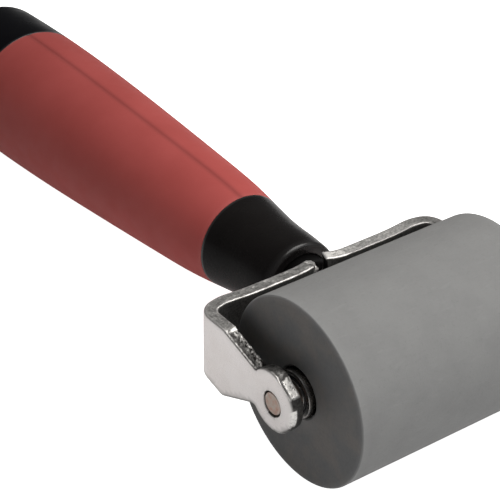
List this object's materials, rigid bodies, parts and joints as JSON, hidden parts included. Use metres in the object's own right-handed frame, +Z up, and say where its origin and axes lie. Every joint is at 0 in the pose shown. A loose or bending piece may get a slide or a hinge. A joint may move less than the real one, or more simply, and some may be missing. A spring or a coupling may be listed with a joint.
{
  "type": "rubber brayer",
  "caption": "Hand roller with a rubber-covered roller on ball bearings in a bent steel fork, on a straight two-colour soft-grip handle.",
  "frame": {"origin": "bottom centre of the tool's box, on the table it lies on", "axes": "+X along the roller's axle, +Y back along the handle, +Z up"},
  "size_m": [0.0606, 0.1773, 0.04],
  "materials": {
    "plated_fork": "satin nickel plating",
    "pin_steel": "plain turned steel",
    "tube_steel": "plain steel",
    "bearing_steel": "ground steel",
    "tang_steel": "plain steel",
    "neck_plastic": "matte black",
    "core_plastic": "plain",
    "lock_pin_steel": "plain steel",
    "black_grip": "satin black soft grip",
    "red_grip": "matte red-brown soft grip",
    "black_cap": "satin black soft grip",
    "roller_rubber": "matte grey rubber",
    "core_aluminium": "plain",
    "seal_rubber": "satin",
    "ball_steel": "polished steel"
  },
  "bodies": {
    "fork_and_handle": {"fork_frame": "plated_fork", "axle_pin": "pin_steel", "axle_spacer_tube": "tube_steel", "bearing_left_inner_ring": "bearing_steel", "bearing_right_inner_ring": "bearing_steel", "handle_tang": "tang_steel", "neck_collar": "neck_plastic", "handle_core": "core_plastic", "tang_lock_pin": "lock_pin_steel", "front_ferrule": "black_grip", "grip_sleeve": "red_grip", "end_cap": "black_cap"},
    "roller": {"roller_rubber": "roller_rubber", "roller_core": "core_aluminium", "bearing_left_outer_ring": "bearing_steel", "bearing_right_outer_ring": "bearing_steel", "bearing_left_outer_seal": "seal_rubber", "bearing_left_inner_seal": "seal_rubber", "bearing_right_outer_seal": "seal_rubber", "bearing_right_inner_seal": "seal_rubber"},
    "left_ball_ring": {"bearing_left_balls_and_cage": "ball_steel"},
    "right_ball_ring": {"bearing_right_balls_and_cage": "ball_steel"}
  },
  "joints": [
    {"name": "roller_spin", "type": "hinge", "parent": "fork_and_handle", "child": "roller", "pos_m": [0, -0.0686, 0.02], "axis": [1, 0, 0], "continuous": true},
    {"name": "left_ball_ring_spin", "type": "hinge", "parent": "fork_and_handle", "child": "left_ball_ring", "pos_m": [0, -0.0686, 0.02], "axis": [1, 0, 0], "continuous": true},
    {"name": "right_ball_ring_spin", "type": "hinge", "parent": "fork_and_handle", "child": "right_ball_ring", "pos_m": [0, -0.0686, 0.02], "axis": [1, 0, 0], "continuous": true}
  ],
  "couplings": [
    {"joint": "left_ball_ring_spin", "follows": "roller_spin", "ratio": 0.5827},
    {"joint": "right_ball_ring_spin", "follows": "roller_spin", "ratio": 0.5827}
  ]
}
